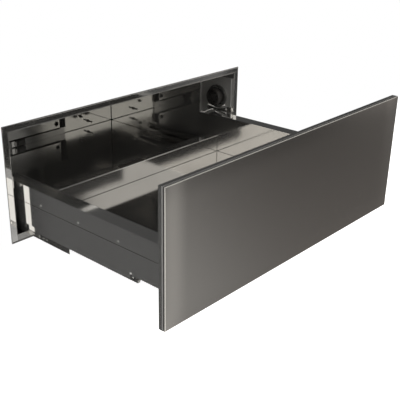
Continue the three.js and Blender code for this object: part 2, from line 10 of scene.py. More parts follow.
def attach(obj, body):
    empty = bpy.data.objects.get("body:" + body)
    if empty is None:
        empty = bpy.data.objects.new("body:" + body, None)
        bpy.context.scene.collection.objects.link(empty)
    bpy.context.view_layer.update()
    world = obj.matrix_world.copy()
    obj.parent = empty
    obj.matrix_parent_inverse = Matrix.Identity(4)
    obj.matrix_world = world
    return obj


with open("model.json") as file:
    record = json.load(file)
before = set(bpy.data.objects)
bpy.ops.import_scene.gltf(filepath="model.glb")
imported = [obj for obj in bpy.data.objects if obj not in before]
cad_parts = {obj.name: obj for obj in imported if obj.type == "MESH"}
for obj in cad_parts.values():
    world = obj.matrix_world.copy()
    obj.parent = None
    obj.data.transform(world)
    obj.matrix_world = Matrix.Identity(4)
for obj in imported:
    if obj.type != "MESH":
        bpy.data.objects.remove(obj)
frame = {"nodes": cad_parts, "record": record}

NODES = frame["nodes"]
scene = bpy.context.scene
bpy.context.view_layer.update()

# the model's lengths are first given as on the object: Y from the face of the front, Z from its bottom edge, in mm
OX, OY, OZ = 0.0, 708.0, 9.0


def P(x, y, z):
    return Vector(((x - OX) / 1000.0, (y - OY) / 1000.0, (z - OZ) / 1000.0))


def mm(v):
    return v / 1000.0


# ------------------------------------------------------------------ camera
cam_data = bpy.data.cameras.new("camera")
cam = bpy.data.objects.new("camera", cam_data)
scene.collection.objects.link(cam)
cam.location = P(-1125.4, -724.8, 693.5)
cam.rotation_euler = (math.radians(90 - 23.12), 0, math.radians(-46.04))
cam_data.sensor_width = 36.0
cam_data.sensor_fit = "HORIZONTAL"
cam_data.lens = 718.0 / 400.0 * 36.0
cam_data.shift_x = (200.0 - 167.5) / 400.0
cam_data.shift_y = (198.4 - 200.0) / 400.0
cam_data.clip_start = 0.05
cam_data.clip_end = 60.0
scene.camera = cam

scene.view_settings.view_transform = "Standard"
scene.view_settings.look = "None"
scene.view_settings.exposure = 0.0
scene.view_settings.gamma = 1.0

# ------------------------------------------------------------------ node helpers


class Tree:
    """A short way to write a node tree."""

    def __init__(self, tree):
        self.t = tree
        self.n = tree.nodes
        self.l = tree.links

    def new(self, kind, **values):
        node = self.n.new(kind)
        for k, v in values.items():
            if hasattr(node, k):
                setattr(node, k, v)
            else:
                node.inputs[k].default_value = v
        return node

    def link(self, a, b):
        self.l.new(a, b)
        return b


def ramp(tree, source, stops, interpolation="LINEAR"):
    r = tree.new("ShaderNodeValToRGB")
    r.color_ramp.interpolation = interpolation
    e = r.color_ramp.elements
    while len(e) > 2:
        e.remove(e[-1])
    for i, (pos, col) in enumerate(stops):
        if not isinstance(col, (tuple, list)):
            col = (col, col, col)
        if i < 2:
            e[i].position = pos
        el = e[i] if i < 2 else e.new(pos)
        el.color = (*col, 1.0)
    tree.link(source, r.inputs["Fac"])
    return r.outputs["Color"]


def noise(tree, vector, scale=(1, 1, 1), size=1.0, detail=3.0, roughness=0.5, seed=0.0):
    m = tree.new("ShaderNodeMapping")
    m.inputs["Scale"].default_value = scale
    m.inputs["Location"].default_value = (seed, seed * 1.7, seed * 0.6)
    tree.link(vector, m.inputs["Vector"])
    n = tree.new("ShaderNodeTexNoise")
    n.inputs["Scale"].default_value = size
    n.inputs["Detail"].default_value = detail
    n.inputs["Roughness"].default_value = roughness
    tree.link(m.outputs["Vector"], n.inputs["Vector"])
    return n.outputs["Fac"]


def remap(tree, source, a, b, c, d, smooth=False):
    m = tree.new("ShaderNodeMapRange")
    m.interpolation_type = "SMOOTHSTEP" if smooth else "LINEAR"
    m.inputs["From Min"].default_value = a
    m.inputs["From Max"].default_value = b
    m.inputs["To Min"].default_value = c
    m.inputs["To Max"].default_value = d
    tree.link(source, m.inputs["Value"])
    return m.outputs["Result"]


def maths(tree, op, a, b=None):
    m = tree.new("ShaderNodeMath", operation=op)
    for i, v in enumerate((a, b)):
        if v is None:
            continue
        if isinstance(v, (int, float)):
            m.inputs[i].default_value = v
        else:
            tree.link(v, m.inputs[i])
    return m.outputs[0]


def mix(tree, fac, a, b, blend="MIX"):
    m = tree.new("ShaderNodeMix", data_type="RGBA", blend_type=blend)
    for key, v in ((0, fac), (6, a), (7, b)):
        if isinstance(v, (int, float)):
            m.inputs[key].default_value = v
        elif isinstance(v, (tuple, list)):
            m.inputs[key].default_value = (*v, 1.0)
        else:
            tree.link(v, m.inputs[key])
    return m.outputs[2]


def lin(r, g, b):
    """sRGB 0-255 to linear."""
    out = []
    for c in (r, g, b):
        c /= 255.0
        out.append(c / 12.92 if c <= 0.04045 else ((c + 0.055) / 1.055) ** 2.4)
    return tuple(out)


MATS = {}


def material(name):
    m = bpy.data.materials.new(name)
    m.use_nodes = True
    t = Tree(m.node_tree)
    t.n.clear()
    out = t.new("ShaderNodeOutputMaterial")
    b = t.new("ShaderNodeBsdfPrincipled")
    t.link(b.outputs[0], out.inputs[0])
    coord = t.new("ShaderNodeTexCoord")
    MATS[name] = m
    return m, t, b, coord.outputs["Object"]


def bump(tree, bsdf, height, strength, distance):
    n = tree.new("ShaderNodeBump")
    n.inputs["Strength"].default_value = strength
    n.inputs["Distance"].default_value = distance
    tree.link(height, n.inputs["Height"])
    tree.link(n.outputs[0], bsdf.inputs["Normal"])


def sheet_metal(name, dark, light, rough, grain=(1, 1, 1), grain_size=900.0, wave=0.00006, grain_amount=0.5,
                metallic=1.0, smudge=0.35, scratch=0.0):
    """Rolled sheet: faint grain along one way, slow clouding of the polish and a very slightly wavy surface."""
    m, t, b, co = material(name)
    fine = noise(t, co, grain, grain_size, 2.0, 0.6)
    cloud = noise(t, co, (1, 1, 1), 7.0, 4.0, 0.55, 3.1)
    smear = noise(t, co, (1, 1.6, 1), 26.0, 5.0, 0.62, 9.7)
    tone = maths(t, "ADD", maths(t, "MULTIPLY", fine, grain_amount), maths(t, "MULTIPLY", cloud, 1.0 - grain_amount))
    t.link(mix(t, remap(t, tone, 0.3, 0.7, 0.0, 1.0), dark, light), b.inputs["Base Color"])
    b.inputs["Metallic"].default_value = metallic
    r0, r1 = rough
    rr = maths(t, "ADD", maths(t, "MULTIPLY", cloud, 1.0 - smudge), maths(t, "MULTIPLY", smear, smudge))
    t.link(remap(t, rr, 0.3, 0.7, r0, r1), b.inputs["Roughness"])
    low = noise(t, co, (1, 1, 1), 5.0, 1.0, 0.4, 5.5)
    h = maths(t, "ADD", maths(t, "MULTIPLY", low, 1.0), maths(t, "MULTIPLY", fine, scratch))
    bump(t, b, h, 1.0, wave)
    return m


# ------------------------------------------------------------------ materials
# satin graphite front: fine grain along its length; the sheet bows back very slightly towards its edges; a thin band
# along its outer edges is painted a pale tone, a painted highlight
m, t, b, co = material("front_satin")
sep = t.new("ShaderNodeSeparateXYZ")
t.link(co, sep.inputs[0])
grain = noise(t, co, (1.0, 1.0, 60.0), 42.0, 4.0, 0.7)
speck = noise(t, co, (1, 1, 1), 1500.0, 2.0, 0.5, 2.0)
cloud = noise(t, co, (1, 1, 1), 4.5, 3.0, 0.5, 8.0)
ax = maths(t, "ABSOLUTE", sep.outputs["X"])
zc = maths(t, "ABSOLUTE", maths(t, "SUBTRACT", sep.outputs["Z"], 0.125))
# painted highlight: a thin band along the panel's outer edges is mixed to a pale colour
painted_edge_highlight = maths(t, "MAXIMUM", remap(t, ax, 0.3770, 0.3796, 0.0, 1.0, True), remap(t, zc, 0.1312, 0.1336, 0.0, 1.0, True))
tone = maths(t, "ADD", maths(t, "MULTIPLY", grain, 0.55), maths(t, "MULTIPLY", speck, 0.25))
tone = maths(t, "ADD", tone, maths(t, "MULTIPLY", cloud, 0.2))
base = mix(t, remap(t, tone, 0.35, 0.65, 0.0, 1.0), (0.287, 0.277, 0.2647), (0.293, 0.283, 0.2703))
# the pale colour of the painted edge highlight
t.link(mix(t, painted_edge_highlight, base, (0.66, 0.645, 0.62)), b.inputs["Base Color"])
b.inputs["Metallic"].default_value = 1.0
t.link(remap(t, tone, 0.3, 0.7, 0.264, 0.276), b.inputs["Roughness"])
b.inputs["Anisotropic"].default_value = 0.6
b.inputs["Anisotropic Rotation"].default_value = 0.25
bow_x = maths(t, "POWER", remap(t, ax, 0.325, 0.380, 0.0, 1.0), 2.0)
bow_z = maths(t, "POWER", remap(t, zc, 0.094, 0.134, 0.0, 1.0), 2.0)
bow = maths(t, "MULTIPLY", maths(t, "ADD", bow_x, maths(t, "MULTIPLY", bow_z, 0.4)), -1.0)
first = t.new("ShaderNodeBump")
first.inputs["Strength"].default_value = 1.0
first.inputs["Distance"].default_value = 0.0021
t.link(bow, first.inputs["Height"])
second = t.new("ShaderNodeBump")
second.inputs["Strength"].default_value = 0.025
second.inputs["Distance"].default_value = 0.00006
t.link(maths(t, "ADD", grain, maths(t, "MULTIPLY", speck, 0.5)), second.inputs["Height"])
t.link(first.outputs[0], second.inputs["Normal"])
t.link(second.outputs[0], b.inputs["Normal"])

sheet_metal("trim_aluminium", (0.40, 0.40, 0.39), (0.48, 0.48, 0.47), (0.24, 0.34), (60, 1, 1), 60.0, 0.00002)
sheet_metal("graphite_steel", (0.76, 0.755, 0.745), (0.81, 0.805, 0.795), (0.05, 0.08), (1, 30, 1), 60.0, 0.00002, 0.3, metallic=0.975)
sheet_metal("cap_steel", (0.66, 0.655, 0.645), (0.72, 0.715, 0.70), (0.06, 0.09), (1, 30, 1), 60.0, 0.00002, 0.3, metallic=0.975)
sheet_metal("polished_steel", (0.43, 0.425, 0.41), (0.48, 0.475, 0.46), (0.04, 0.08), (30, 1, 1), 50.0, 0.00002, 0.3, metallic=0.905)
sheet_metal("tub_steel", (0.60, 0.59, 0.575), (0.66, 0.65, 0.632), (0.05, 0.09), (1, 26, 1), 50.0, 0.00002, 0.35, metallic=0.975)
sheet_metal("galvanised", (0.42, 0.43, 0.43), (0.62, 0.63, 0.64), (0.35, 0.55), (1, 1, 1), 70.0, 0.00004, 0.2, smudge=0.7)
sheet_metal("runner_zinc", (0.36, 0.355, 0.345), (0.44, 0.435, 0.42), (0.12, 0.20), (1, 30, 1), 90.0, 0.00002, 0.6, metallic=0.97)
sheet_metal("dark_zinc", (0.10, 0.099, 0.096), (0.15, 0.148, 0.144), (0.25, 0.38), (1, 1, 1), 90.0, 0.00003, 0.6, metallic=0.95)
sheet_metal("plate_steel", (0.50, 0.495, 0.48), (0.58, 0.572, 0.555), (0.12, 0.18), (30, 1, 1), 50.0, 0.00002, 0.3, metallic=0.96)
sheet_metal("plate_matte", (0.41, 0.406, 0.395), (0.49, 0.485, 0.472), (0.32, 0.44), (30, 1, 1), 50.0, 0.00002, 0.3, metallic=0.74)
m = sheet_metal("inner_trim", (0.205, 0.203, 0.199), (0.26, 0.258, 0.253), (0.30, 0.40), (1, 1, 12), 60.0, 0.00002, 0.3, metallic=0.45)
# its upward-facing faces are painted darker than its sides, a painted shade on its top
t = Tree(m.node_tree)
b = next(n for n in t.n if n.type == "BSDF_PRINCIPLED")
side_tone = b.inputs["Base Color"].links[0].from_socket
painted_top_shade_geo = t.new("ShaderNodeNewGeometry")
sep = t.new("ShaderNodeSeparateXYZ")
t.link(painted_top_shade_geo.outputs["Normal"], sep.inputs[0])
# painted shade: faces that point up get the darker colour
t.link(mix(t, remap(t, sep.outputs["Z"], 0.5, 0.9, 0.0, 1.0), side_tone, (0.155, 0.153, 0.150)), b.inputs["Base Color"])
sheet_metal("screw_steel", (0.62, 0.614, 0.60), (0.70, 0.692, 0.675), (0.16, 0.24), (1, 1, 1), 70.0, 0.00002, 0.3, metallic=0.9)
sheet_metal("collar_steel", (0.17, 0.168, 0.164), (0.23, 0.228, 0.222), (0.30, 0.42), (1, 1, 1), 70.0, 0.00002, 0.3, metallic=0.9)
sheet_metal("strap_bright", (0.90, 0.89, 0.87), (0.97, 0.96, 0.94), (0.14, 0.22), (1, 1, 1), 70.0, 0.00002, 0.3, metallic=0.9)
sheet_metal("skirt_steel", (0.30, 0.297, 0.288), (0.36, 0.356, 0.345), (0.14, 0.22), (30, 1, 1), 50.0, 0.00002, 0.3, metallic=0.93)
sheet_metal("edge_steel", (0.74, 0.735, 0.72), (0.82, 0.815, 0.80), (0.10, 0.16), (1, 1, 1), 60.0, 0.00001, 0.3)
sheet_metal("bright_chrome", (0.80, 0.79, 0.77), (0.88, 0.87, 0.85), (0.03, 0.08), (1, 1, 1), 60.0, 0.00001, 0.3)
sheet_metal("heater_tube", (0.13, 0.10, 0.08), (0.24, 0.20, 0.17), (0.3, 0.5), (1, 1, 1), 40.0, 0.00005, 0.4)

# housing sides and top: the frame in front is bright; the sheets behind it, inside the housing, are painted a darker
# and less metallic tone, a painted shade for the housing's inside
m, t, b, co = material("frame_steel")
sep = t.new("ShaderNodeSeparateXYZ")
t.link(co, sep.inputs[0])
fine = noise(t, co, (1, 30, 1), 50.0, 2.0, 0.6)
cloud = noise(t, co, (1, 1, 1), 7.0, 4.0, 0.55, 3.1)
tone = maths(t, "ADD", maths(t, "MULTIPLY", fine, 0.3), maths(t, "MULTIPLY", cloud, 0.7))
tone = remap(t, tone, 0.3, 0.7, 0.0, 1.0)
front = mix(t, tone, (0.78, 0.775, 0.76), (0.84, 0.835, 0.82))
# painted shade: darker tone for the sheets behind the frame's face
painted_shade_behind = mix(t, tone, (0.46, 0.455, 0.44), (0.52, 0.515, 0.50))
at_frame = remap(t, sep.outputs["Y"], -0.2484, -0.2466, 1.0, 0.0)
t.link(mix(t, at_frame, painted_shade_behind, front), b.inputs["Base Color"])
t.link(remap(t, at_frame, 0.0, 1.0, 0.915, 0.98), b.inputs["Metallic"])
t.link(remap(t, cloud, 0.3, 0.7, 0.04, 0.08), b.inputs["Roughness"])
bump(t, b, noise(t, co, (1, 1, 1), 5.0, 1.0, 0.4, 5.5), 1.0, 0.00002)


def plain_plastic(name, dark, light, rough, grain_size=1400.0, height=0.00005, spec=0.5):
    """Moulded plastic or rubber: spark-eroded grain and a slightly uneven gloss."""
    m, t, b, co = material(name)
    fine = noise(t, co, (1, 1, 1), grain_size, 3.0, 0.6)
    cloud = noise(t, co, (1, 1, 1), 30.0, 3.0, 0.5, 4.0)
    t.link(mix(t, remap(t, cloud, 0.3, 0.7, 0.0, 1.0), dark, light), b.inputs["Base Color"])
    t.link(remap(t, fine, 0.3, 0.7, rough[0], rough[1]), b.inputs["Roughness"])
    b.inputs["Specular IOR Level"].default_value = spec
    bump(t, b, fine, 0.6, height)
    return m


plain_plastic("shadow_black", (0.008, 0.008, 0.008), (0.016, 0.016, 0.015), (0.5, 0.7))
plain_plastic("black_plastic", (0.010, 0.010, 0.010), (0.020, 0.020, 0.019), (0.32, 0.5))
plain_plastic("black_rubber", (0.010, 0.010, 0.010), (0.022, 0.021, 0.020), (0.6, 0.85), 800.0, 0.0001, 0.3)
plain_plastic("terminal_white", (0.62, 0.60, 0.54), (0.70, 0.68, 0.62), (0.35, 0.5))
plain_plastic("lens_white", (0.70, 0.69, 0.66), (0.78, 0.77, 0.74), (0.08, 0.16), 900.0, 0.00001)
plain_plastic("board_green", (0.015, 0.07, 0.03), (0.03, 0.12, 0.05), (0.2, 0.4), 500.0, 0.00004)

# mineral wool: matted fibres
m, t, b, co = material("insulation")
f1 = noise(t, co, (1, 5, 2), 160.0, 6.0, 0.7)
f2 = noise(t, co, (4, 1, 1), 110.0, 5.0, 0.7, 6.0)
f = maths(t, "ADD", maths(t, "MULTIPLY", f1, 0.5), maths(t, "MULTIPLY", f2, 0.5))
t.link(ramp(t, f, [(0.3, (0.42, 0.37, 0.27)), (0.7, (0.78, 0.73, 0.60))]), b.inputs["Base Color"])
b.inputs["Roughness"].default_value = 0.95
bump(t, b, f, 1.0, 0.0012)

SLOT_OF = {s["node"]: s["material_slot"] for s in frame["record"]["subparts"]}
SPECIAL = {
    "runner_drawer_left": "graphite_steel",
    "runner_drawer_right": "graphite_steel",
    "runner_clip_left": "skirt_steel",
    "runner_clip_right": "skirt_steel",
    "cover_skirt": "skirt_steel",
    "rear_buffer": "dark_zinc",
    "fan_collar": "collar_steel",
    "front_inner_frame": "inner_trim",
    "front_back_pan": "cap_steel",
    "rear_cover_plate": "plate_steel",
    "fan_plate": "plate_matte",
    "catch_pin": "dark_zinc",
    "cavity_sensor": "dark_zinc",
    "floor_sensor": "dark_zinc",
    "tub_floor": "tub_steel",
    "tub_wall_left": "tub_steel",
    "tub_wall_right": "tub_steel",
    "tub_back": "tub_steel",
    "tub_front": "tub_steel",
    "back_shell": "cap_steel",
    "front_cap": "cap_steel",
}
for name, o in NODES.items():
    want = MATS[SPECIAL.get(name, SLOT_OF[name])]
    for s in o.material_slots:
        s.material = want
    if not o.material_slots:
        o.data.materials.append(want)

plain_plastic("sealant_dark", (0.012, 0.011, 0.010), (0.026, 0.023, 0.020), (0.45, 0.65), 900.0, 0.00003, 0.4)
plain_plastic("rubbed_plastic", (0.016, 0.015, 0.014), (0.032, 0.030, 0.028), (0.30, 0.45), 700.0, 0.00002, 0.3)
plain_plastic("sealant_brown", (0.085, 0.070, 0.055), (0.120, 0.100, 0.080), (0.4, 0.6), 900.0, 0.00003, 0.4)

# ------------------------------------------------------------------ pieces in mesh code


def finish_piece(name, bm, mat, body, smooth=True):
    bmesh.ops.recalc_face_normals(bm, faces=bm.faces)
    me = bpy.data.meshes.new(name)
    bm.to_mesh(me)
    bm.free()
    if smooth:
        for poly in me.polygons:
            poly.use_smooth = True
    o = bpy.data.objects.new(name, me)
    scene.collection.objects.link(o)
    me.materials.append(MATS[mat])
    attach(o, body)
    return o


def prism(bm, sections, caps=True):
    """Skin a row of matching closed sections (lists of points)."""
    rows = [[bm.verts.new(q) for q in sec] for sec in sections]
    n = len(rows[0])
    for r0, r1 in zip(rows, rows[1:]):
        for i in range(n):
            bm.faces.new((r0[i], r0[(i + 1) % n], r1[(i + 1) % n], r1[i]))
    if caps:
        bm.faces.new(rows[0][::-1])
        bm.faces.new(rows[-1])


def corner_bead(bm, a, b, u, v, leg):
    """A sealing bead with a hollow face, laid along the corner line from a to b; u and v point along its two walls (mm)."""
    a, b, u, v = Vector(a), Vector(b), Vector(u), Vector(v)
    k = 0.06
    prof = [(k, k), (leg, k), (leg * 0.62, leg * 0.20), (leg * 0.40, leg * 0.40), (leg * 0.20, leg * 0.62), (k, leg)]
    steps = max(2, int((b - a).length / 60) + 1)
    secs = []
    for i in range(steps + 1):
        c = a.lerp(b, i / steps)
        w = 1.0 + 0.05 * math.sin(i * 2.3)
        secs.append([P(*(c + u * (x * w) + v * (y * w))) for x, y in prof])
    prism(bm, secs)


def rim_loop(bm, x0, x1, z0, z1, y, r, sides=10):
    """A round bead along a rectangle in the plane of the frame, mitred at its corners (mm)."""
    secs = []
    for cx, cz, sx, sz in ((x0, z0, -1, -1), (x1, z0, 1, -1), (x1, z1, 1, 1), (x0, z1, -1, 1), (x0, z0, -1, -1)):
        secs.append([
            P(cx + sx * r * math.cos(f), y + r * math.sin(f), cz + sz * r * math.cos(f))
            for f in (2 * math.pi * i / sides for i in range(sides))
        ])
    rows = [[bm.verts.new(q) for q in sec] for sec in secs[:4]]
    for k in range(4):
        r0, r1 = rows[k], rows[(k + 1) % 4]
        for i in range(sides):
            bm.faces.new((r0[i], r0[(i + 1) % sides], r1[(i + 1) % sides], r1[i]))


def rod(bm, a, b, r, sides=10):
    """A straight rod with rounded ends (mm)."""
    a, b = Vector(a), Vector(b)
    d = (b - a).normalized()
    u = d.orthogonal().normalized()
    v = d.cross(u)
    secs = []
    for c, out in ((a, -1), (b, 1)):
        ends = [(0.0, 1.0), (0.55, 0.83), (0.9, 0.42)] if out > 0 else [(0.9, 0.42), (0.55, 0.83), (0.0, 1.0)]
        for s_, w in ends:
            secs.append([P(*(c + d * (out * s_ * r) + (u * math.cos(f) + v * math.sin(f)) * (r * w)))
                         for f in (2 * math.pi * i / sides for i in range(sides))])
    prism(bm, secs)


def screw(bm, c, out, r, h, sides=20):
    """A low domed screw head with a six-lobed socket (mm)."""
    c, out = Vector(c), Vector(out).normalized()
    u = out.orthogonal().normalized()
    v = out.cross(u)
    profile = [(1.0, -0.15), (1.0, 0.25), (0.93, 0.55), (0.78, 0.82), (0.56, 0.97), (0.46, 1.0), (0.40, 0.94), (0.36, 0.35)]
    secs = []
    for k, (w, q) in enumerate(profile):
        ring_ = []
        for i in range(sides):
            f = 2 * math.pi * i / sides
            lobe_ = 1.0 + (0.14 * math.cos(6 * f) if k >= 6 else 0.0)
            ring_.append(P(*(c + (u * math.cos(f) + v * math.sin(f)) * (r * w * lobe_) + out * (h * q))))
        secs.append(ring_)
    prism(bm, secs)


OX1, FZ, BY, TZ = 358.1, 16.0, 957.9, 250.0
# sealing beads in the housing: dark ones round the back sheet, paler and thinner ones along the floor's sides
bm = bmesh.new()
for sx in (-1, 1):
    corner_bead(bm, (sx * OX1, BY, FZ), (sx * OX1, BY, TZ), (-sx, 0, 0), (0, -1, 0), 2.1)
corner_bead(bm, (-OX1, BY, FZ), (-170.3, BY, FZ), (0, -1, 0), (0, 0, 1), 1.5)
corner_bead(bm, (165.3, BY, FZ), (OX1, BY, FZ), (0, -1, 0), (0, 0, 1), 1.5)
corner_bead(bm, (-OX1, BY, TZ), (OX1, BY, TZ), (0, -1, 0), (0, 0, -1), 1.5)
finish_piece("housing_sealant", bm, "sealant_dark", "housing")
bm = bmesh.new()
for sx in (-1, 1):
    corner_bead(bm, (sx * OX1, 461, FZ), (sx * OX1, BY, FZ), (-sx, 0, 0), (0, 0, 1), 0.9)
finish_piece("floor_side_sealant", bm, "sealant_brown", "housing")

# fine beads in the corners of the tub
TX, TY0, TY1, TF, TT = 313.6, 47.6, 474.0, 38.0, 82.0
bm = bmesh.new()
for sx in (-1, 1):
    corner_bead(bm, (sx * TX, TY1, TF), (sx * TX, TY1, TT), (-sx, 0, 0), (0, -1, 0), 0.85)
    corner_bead(bm, (sx * TX, TY0, TF), (sx * TX, TY0, 138), (-sx, 0, 0), (0, 1, 0), 0.85)
    corner_bead(bm, (sx * TX, TY0, TF), (sx * TX, TY1, TF), (-sx, 0, 0), (0, 0, 1), 0.7)
corner_bead(bm, (-TX, TY1, TF), (TX, TY1, TF), (0, -1, 0), (0, 0, 1), 0.85)
corner_bead(bm, (-TX, TY0, TF), (TX, TY0, TF), (0, 1, 0), (0, 0, 1), 0.85)
finish_piece("tub_seams", bm, "sealant_dark", "drawer")

# rolled outer and inner edges of the frame
bm = bmesh.new()
rim_loop(bm, -373 + 0.6, 373 - 0.6, 7.2 + 0.6, 264.5 - 0.6, 458.2, 0.55)
rim_loop(bm, -358.1 - 0.6, 358.1 + 0.6, 23.3 - 0.6, 250 + 0.6, 458.2, 0.5)
finish_piece("frame_rolled_edges", bm, "plate_steel", "housing")

# dark strip along the lower edge of the frame, a painted shadow under the frame's foot
bm = bmesh.new()
secs = []
for x, k in ((-372.6, 0.6), (-372.0, 1.0), (372.0, 1.0), (372.6, 0.6)):
    secs.append([P(x, 458.2 + (y - 458.2) * k, z) for y, z in ((459.3, 5.7), (457.95, 5.8), (457.7, 6.1), (457.7, 8.8), (457.95, 9.2), (459.3, 9.3))])
prism(bm, secs)
finish_piece("frame_foot_shadow_strip", bm, "sealant_dark", "housing")

# skin on the top of the frame, a shallow strip with eased edges
bm = bmesh.new()
secs = []
for x in (-371.6, -371.3, 371.3, 371.6):
    e = 0.0 if abs(x) < 371.5 else 0.25
    secs.append([P(x, y, z) for y, z in ((458.19, 251.9 + e), (458.03 + e * 0.3, 252.2 + e), (458.0 + e * 0.3, 252.5 + e),
                                        (458.0 + e * 0.3, 261.9 - e), (458.03 + e * 0.3, 262.2 - e), (458.19, 262.5 - e))])
prism(bm, secs)
finish_piece("frame_top_skin", bm, "frame_steel", "housing", smooth=False)

# black rubber pad on the rear rim of the drawer
bm = bmesh.new()
secs = []
for x, k in ((-38.5, 0.55), (-37.6, 0.85), (-36.0, 1.0), (40.0, 1.0), (41.6, 0.85), (42.5, 0.55)):
    secs.append([P(x, 484.6 + (y - 484.6) * k, 82.9 + (z - 82.9) * (0.6 + 0.4 * k)) for y, z in
                 ((477.0, 82.9), (477.2, 84.0), (478.2, 84.6), (491.0, 84.6), (492.0, 84.0), (492.2, 82.9))])
prism(bm, secs)
finish_piece("rear_rim_pad", bm, "sealant_dark", "drawer")

# rolled beads along the upper inner edges of the drawer's walls
bm = bmesh.new()
rod(bm, (-312.6, 474.4, 82.4), (312.6, 474.4, 82.4), 1.3)
finish_piece("drawer_edge_bead", bm, "bright_chrome", "drawer")
bm = bmesh.new()
rod(bm, (-312.6, 47.0, 139.1), (312.6, 47.0, 139.1), 0.6)
for sx in (-1, 1):
    rod(bm, (sx * 314.1, 48.2, 139.1), (sx * 314.1, 505.2, 139.1), 0.45)
finish_piece("wall_edge_beads", bm, "dark_zinc", "drawer")

# screws along the drawer's sides
bm = bmesh.new()
for sx in (-1, 1):
    for y in (383.0, 265.4, 152.0):
        screw(bm, (sx * 346.0, y, 109.5), (sx, 0, 0), 2.5, 1.0)
finish_piece("side_screws", bm, "screw_steel", "drawer")

# dark line laid in the pressed groove of each side, painted shade in the groove
bm = bmesh.new()
for sx in (-1, 1):
    secs = []
    for y, k in ((16.2, 0.6), (17.0, 1.0), (503.0, 1.0), (503.8, 0.6)):
        secs.append([P(sx * (346.0 + d * k), y, 101.5 + h * k) for d, h in ((-0.25, -0.5), (0.12, -0.5), (0.30, -0.2), (0.30, 0.2), (0.12, 0.5), (-0.25, 0.5))])
    prism(bm, secs)
finish_piece("side_groove_shade_lines", bm, "sealant_dark", "drawer")

# rivets and a spring plate on each middle runner
for side, sx in (("left", -1), ("right", 1)):
    bm = bmesh.new()
    for y in (386.3, 374.4):
        screw(bm, (sx * 343.0, y, 33.6), (sx, 0, 0), 2.1, 0.8)
    secs = []
    for y, dz in ((398.5, 0.8), (400.0, 0.0), (419.0, 0.0), (421.5, 0.8)):
        secs.append([P(sx * x, y, z) for x, z in ((342.95, 30.2 + dz), (343.35, 30.2 + dz), (343.75, 31.0 + dz),
                                                (343.75, 36.0 - dz), (343.35, 36.8 - dz), (342.95, 36.8 - dz))])
    prism(bm, secs)
    finish_piece("middle_runner_rivets_" + side, bm, "bright_chrome", "runner_middle_" + side)

# fixing screws: front clips, cabinet runners, fan, electronics box and rear of the housing
bm = bmesh.new()
for sx in (-1, 1):
    screw(bm, (sx * 343.5, 116.0, 47.0), (sx, 0, 0), 2.0, 0.9)
    screw(bm, (sx * 345.9, 120.0, 55.4), (sx, 0, 0), 2.3, 1.2)
finish_piece("clip_screws", bm, "strap_bright", "drawer")
bm = bmesh.new()
for sx in (-1, 1):
    screw(bm, (sx * 330.0, 711.9, 22.5), (-sx, 0, 0), 3.2, 1.8)
    screw(bm, (sx * 330.0, 560.0, 22.5), (-sx, 0, 0), 2.0, 1.0)
    screw(bm, (sx * 338.0, 690.0, 17.7), (0, 0, 1), 2.6, 1.1)
for dy in (-21.6, 21.6):
    screw(bm, (353.5, 512.0 + dy, 187.5), (-1, 0, 0), 1.9, 0.8)
for x, z in ((-78, 46), (108, 46)):
    screw(bm, (x, 991.9, z), (0, 1, 0), 2.6, 1.0)
for x in (-340, -210, 210, 340):
    for z in (22, 246):
        screw(bm, (x, 959.1, z), (0, 1, 0), 3.0, 1.2)
for sx in (-1, 1):
    for y in (500, 720, 930):
        screw(bm, (sx * 359.3, y, 244), (sx, 0, 0), 3.0, 1.2)
finish_piece("housing_screws", bm, "bright_chrome", "housing")

# ribbed glide at each side of the opening, which keeps the drawer's sides off the frame
bm = bmesh.new()
for sx in (-1, 1):
    n = 5
    prof = []
    y0, y1 = 462.0, 477.0
    for i in range(n):
        a0 = y0 + (y1 - y0) * i / n
        w = (y1 - y0) / n
        prof += [(a0 + w * 0.08, 2.6), (a0 + w * 0.26, 5.0), (a0 + w * 0.62, 5.0), (a0 + w * 0.82, 2.6)]
    secs = []
    for z, k in ((127.0, 0.7), (127.8, 1.0), (153.2, 1.0), (154.0, 0.7)):
        sec = [P(sx * (357.95 - d * k), y, z) for y, d in prof]
        sec += [P(sx * 357.95, y1, z), P(sx * 357.95, y0, z)]
        secs.append(sec)
    prism(bm, secs)
finish_piece("opening_glides", bm, "plate_steel", "housing", smooth=False)

# rubber boot round the fan with a rounded shoulder, and a wire guard over its mouth
def lathe_loop(bm, prof, cy, cz, sides=48, a0=0.0, a1=360.0):
    """Turn a closed profile of (x, radius) about a line along X through (cy, cz); a part turn gets end caps (mm)."""
    full = a1 - a0 >= 359.9
    secs = []
    for i in range(sides if full else sides + 1):
        f = math.radians(a0 + (a1 - a0) * i / sides)
        secs.append([P(x, cy + r * math.cos(f), cz + r * math.sin(f)) for x, r in prof])
    rows = [[bm.verts.new(q) for q in sec] for sec in secs]
    n = len(prof)
    for k in range(len(rows) if full else len(rows) - 1):
        r0, r1 = rows[k], rows[(k + 1) % len(rows)]
        for i in range(n):
            bm.faces.new((r0[i], r0[(i + 1) % n], r1[(i + 1) % n], r1[i]))
    if not full:
        bm.faces.new(rows[0][::-1])
        bm.faces.new(rows[-1])


